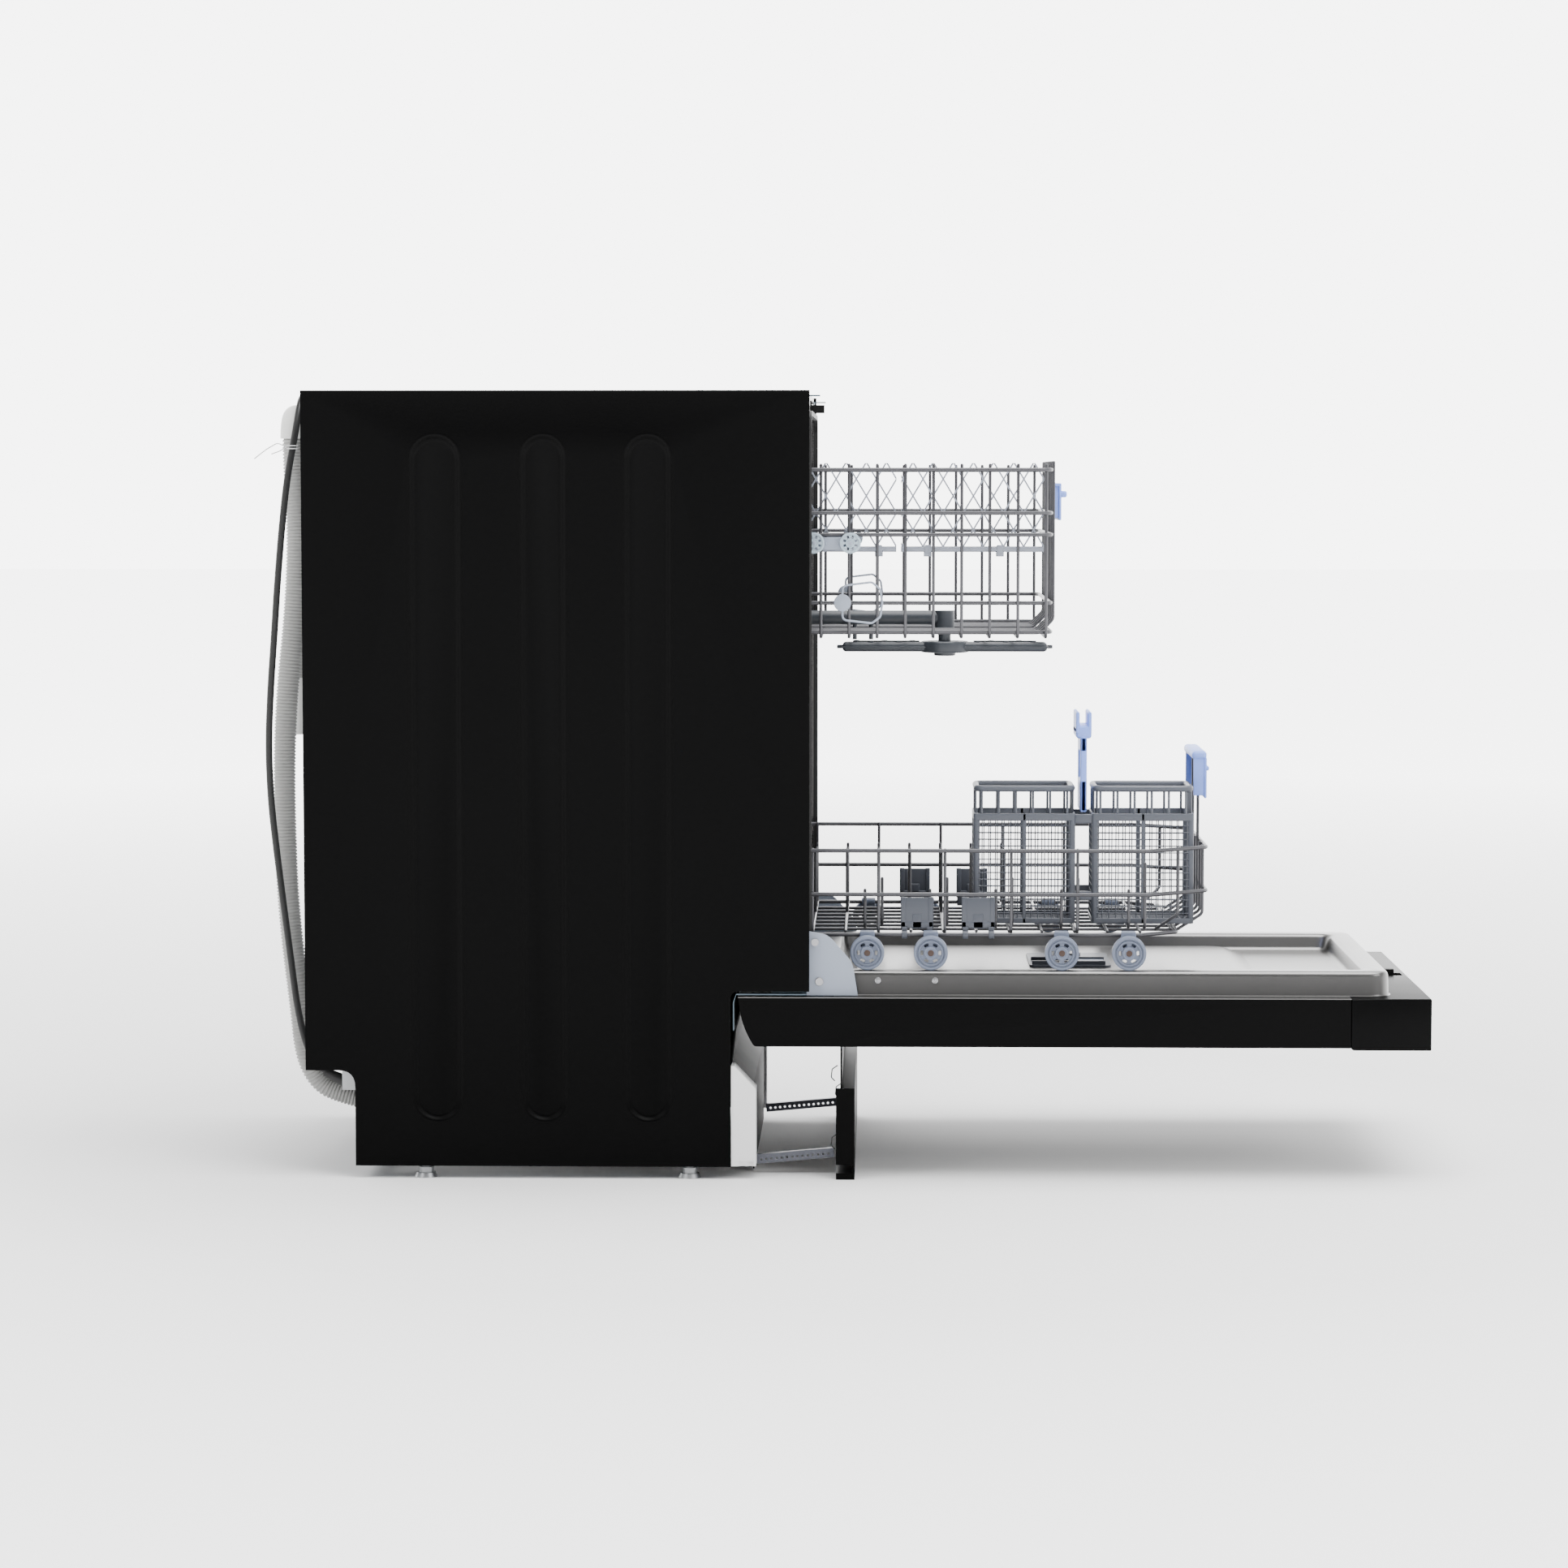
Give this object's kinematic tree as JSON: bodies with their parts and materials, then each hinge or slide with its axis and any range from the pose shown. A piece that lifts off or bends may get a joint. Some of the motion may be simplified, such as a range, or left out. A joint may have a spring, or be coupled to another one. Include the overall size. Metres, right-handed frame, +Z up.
{
  "type": "built-in dishwasher",
  "caption": "Slim built-in dishwasher with its door open flat, two wire racks pulled out on wheels, cutlery basket, toe kick, drain hose and power cord.",
  "frame": {"origin": "on the floor, under the middle of the object's bounding box as it stands with the door open and racks out", "axes": "+Z up, +Y towards the back of the cabinet, door at -Y, +X to the right side seen from behind the open door"},
  "size_m": [0.451, 1.2462, 0.84],
  "materials": {
    "black_steel": "semi-gloss black powder coat",
    "stainless": "bright satin stainless steel",
    "galvanised": "dull zinc",
    "zinc_blue": "blue-grey passivated zinc",
    "white_foam": "white moulded foam",
    "black_plastic": "satin black",
    "black_gloss": "smooth black",
    "ice_blue_plastic": "pale blue-grey nylon",
    "grey_plastic": "mid grey",
    "periwinkle_plastic": "light blue",
    "coated_wire": "smooth grey nylon coat",
    "white_lattice": "pale grey",
    "rubber_black": "matt",
    "hose_grey": "ribbed pale grey polypropylene",
    "hose_white": "smooth off-white",
    "copper_motor": "dark lacquer",
    "spring_steel": "bright"
  },
  "bodies": {
    "cabinet": {"left_side_panel": "black_steel", "right_side_panel": "black_steel", "rear_and_top_cover": "galvanised", "tub": "stainless", "tub_seal": "rubber_black", "base_frame": "zinc_blue", "base_foam": "white_foam", "access_panel": "black_plastic", "mounting_brackets": "zinc_blue", "door_strike": "black_plastic", "splash_guards": "ice_blue_plastic", "rack_rails": "stainless", "hinge_brackets": "zinc_blue", "sump": "grey_plastic", "wash_pump": "copper_motor", "drain_pump": "black_plastic", "inlet_valve": "white_foam", "terminal_box": "galvanised", "door_springs": "spring_steel", "cabinet_screws": "spring_steel", "drain_hose": "hose_grey", "hose_guide": "hose_white", "hose_end": "hose_white", "power_cord": "rubber_black", "strain_relief": "rubber_black", "plug": "rubber_black"},
    "feet": {"levelling_feet": "galvanised"},
    "toe_kick": {"toe_kick_lower": "black_steel", "toe_kick_upper": "black_steel", "toe_kick_straps": "galvanised"},
    "door": {"door_panel": "black_steel", "door_liner": "stainless", "console": "black_gloss", "hinge_arms": "galvanised", "dispenser": "grey_plastic"},
    "detergent_lid": {"dispenser_lid": "ice_blue_plastic"},
    "power_button": {"button_power": "black_gloss"},
    "start_button": {"button_start": "black_gloss"},
    "latch": {"door_latch": "black_plastic"},
    "upper_basket": {"upper_rack": "coated_wire", "upper_rack_fittings": "ice_blue_plastic", "upper_rack_handle": "periwinkle_plastic", "feed_tube": "grey_plastic"},
    "shelf_front": {"cup_shelf_front": "white_lattice"},
    "shelf_rear": {"cup_shelf_rear": "white_lattice"},
    "upper_arm": {"upper_spray_arm": "grey_plastic"},
    "lower_basket": {"lower_rack": "coated_wire", "lower_rack_handle": "periwinkle_plastic"},
    "cutlery_basket": {"basket": "grey_plastic", "basket_handle": "periwinkle_plastic"},
    "lower_arm": {"lower_spray_arm": "grey_plastic"},
    "filter": {"filter_insert": "stainless"},
    "float": {"float_cap": "grey_plastic"},
    "upper_wheel_pair_front": {"upper_wheels_front": "ice_blue_plastic"},
    "upper_wheel_pair_middle": {"upper_wheels_middle": "ice_blue_plastic"},
    "upper_wheel_pair_rear": {"upper_wheels_rear": "ice_blue_plastic"},
    "lower_wheel_pair_1": {"lower_wheels_1": "ice_blue_plastic"},
    "lower_wheel_pair_2": {"lower_wheels_2": "ice_blue_plastic"},
    "lower_wheel_pair_3": {"lower_wheels_3": "ice_blue_plastic"},
    "lower_wheel_pair_4": {"lower_wheels_4": "ice_blue_plastic"}
  },
  "joints": [
    {"name": "door_hinge", "type": "hinge", "parent": "cabinet", "child": "door", "pos_m": [0, 0.0497, 0.1866], "axis": [-1, 0, 0], "range_deg": [-1, 0], "stiffness_Nm_per_rad": 900, "springref_deg": 1.72},
    {"name": "feet_level", "type": "slide", "parent": "cabinet", "child": "feet", "axis": [0, 0, -1], "range_m": [0, 0.02]},
    {"name": "toe_kick_slide", "type": "slide", "parent": "cabinet", "child": "toe_kick", "axis": [0, 1, 0], "range_m": [0, 0.08]},
    {"name": "lower_rack_slide", "type": "slide", "parent": "cabinet", "child": "lower_basket", "axis": [0, 1, 0], "range_m": [0, 0.43]},
    {"name": "upper_rack_slide", "type": "slide", "parent": "cabinet", "child": "upper_basket", "axis": [0, 1, 0], "range_m": [0, 0.27]},
    {"name": "basket_lift", "type": "slide", "parent": "lower_basket", "child": "cutlery_basket", "axis": [0, 0, 1], "range_m": [0, 0.045]},
    {"name": "detergent_lid_slide", "type": "slide", "parent": "door", "child": "detergent_lid", "axis": [0, 1, 0], "range_m": [0, 0.034]},
    {"name": "power_press", "type": "slide", "parent": "door", "child": "power_button", "axis": [0, 0, 1], "range_m": [0, 0.0012], "stiffness_N_per_m": 300},
    {"name": "start_press", "type": "slide", "parent": "door", "child": "start_button", "axis": [0, 0, 1], "range_m": [0, 0.0012], "stiffness_N_per_m": 300},
    {"name": "latch_turn", "type": "hinge", "parent": "door", "child": "latch", "pos_m": [0, -0.5798, 0.182], "axis": [1, 0, 0], "range_deg": [0, 12], "stiffness_Nm_per_rad": 0.2},
    {"name": "shelf_front_fold", "type": "hinge", "parent": "upper_basket", "child": "shelf_front", "pos_m": [-0.1699, -0.1088, 0.6718], "axis": [0, 1, 0], "range_deg": [0, 90]},
    {"name": "shelf_rear_fold", "type": "hinge", "parent": "upper_basket", "child": "shelf_rear", "pos_m": [-0.1699, 0.0212, 0.6718], "axis": [0, 1, 0], "range_deg": [0, 90]},
    {"name": "upper_arm_spin", "type": "hinge", "parent": "upper_basket", "child": "upper_arm", "pos_m": [0, -0.0848, 0.56], "axis": [0, 0, 1], "continuous": true},
    {"name": "lower_arm_spin", "type": "hinge", "parent": "cabinet", "child": "lower_arm", "pos_m": [0, 0.3162, 0.235], "axis": [0, 0, 1], "continuous": true},
    {"name": "filter_turn", "type": "hinge", "parent": "cabinet", "child": "filter", "pos_m": [0, 0.3162, 0.19], "axis": [0, 0, 1], "range_deg": [0, 90]},
    {"name": "float_lift", "type": "slide", "parent": "cabinet", "child": "float", "axis": [0, 0, 1], "range_m": [0, 0.008]},
    {"name": "upper_wheel_pair_front_roll", "type": "hinge", "parent": "upper_basket", "child": "upper_wheel_pair_front", "pos_m": [0, 0.0182, 0.6786], "axis": [1, 0, 0], "range_deg": [-1400, 10]},
    {"name": "upper_wheel_pair_middle_roll", "type": "hinge", "parent": "upper_basket", "child": "upper_wheel_pair_middle", "pos_m": [0, 0.057, 0.6786], "axis": [1, 0, 0], "range_deg": [-1400, 10]},
    {"name": "upper_wheel_pair_rear_roll", "type": "hinge", "parent": "upper_basket", "child": "upper_wheel_pair_rear", "pos_m": [0, 0.2112, 0.6786], "axis": [1, 0, 0], "range_deg": [-1400, 10]},
    {"name": "lower_wheel_pair_1_roll", "type": "hinge", "parent": "lower_basket", "child": "lower_wheel_pair_1", "pos_m": [0, -0.2805, 0.2403], "axis": [1, 0, 0], "range_deg": [-1380, 10]},
    {"name": "lower_wheel_pair_2_roll", "type": "hinge", "parent": "lower_basket", "child": "lower_wheel_pair_2", "pos_m": [0, -0.2087, 0.2403], "axis": [1, 0, 0], "range_deg": [-1380, 10]},
    {"name": "lower_wheel_pair_3_roll", "type": "hinge", "parent": "lower_basket", "child": "lower_wheel_pair_3", "pos_m": [0, -0.0684, 0.2403], "axis": [1, 0, 0], "range_deg": [-1380, 10]},
    {"name": "lower_wheel_pair_4_roll", "type": "hinge", "parent": "lower_basket", "child": "lower_wheel_pair_4", "pos_m": [0, -0.0003, 0.2403], "axis": [1, 0, 0], "range_deg": [-1380, 10]}
  ],
  "couplings": [
    {"joint": "upper_wheel_pair_front_roll", "follows": "upper_rack_slide", "rad_per_m": -89.286},
    {"joint": "upper_wheel_pair_middle_roll", "follows": "upper_rack_slide", "rad_per_m": -89.286},
    {"joint": "upper_wheel_pair_rear_roll", "follows": "upper_rack_slide", "rad_per_m": -89.286},
    {"joint": "lower_wheel_pair_1_roll", "follows": "lower_rack_slide", "rad_per_m": -54.645},
    {"joint": "lower_wheel_pair_2_roll", "follows": "lower_rack_slide", "rad_per_m": -54.645},
    {"joint": "lower_wheel_pair_3_roll", "follows": "lower_rack_slide", "rad_per_m": -54.645},
    {"joint": "lower_wheel_pair_4_roll", "follows": "lower_rack_slide", "rad_per_m": -54.645}
  ]
}
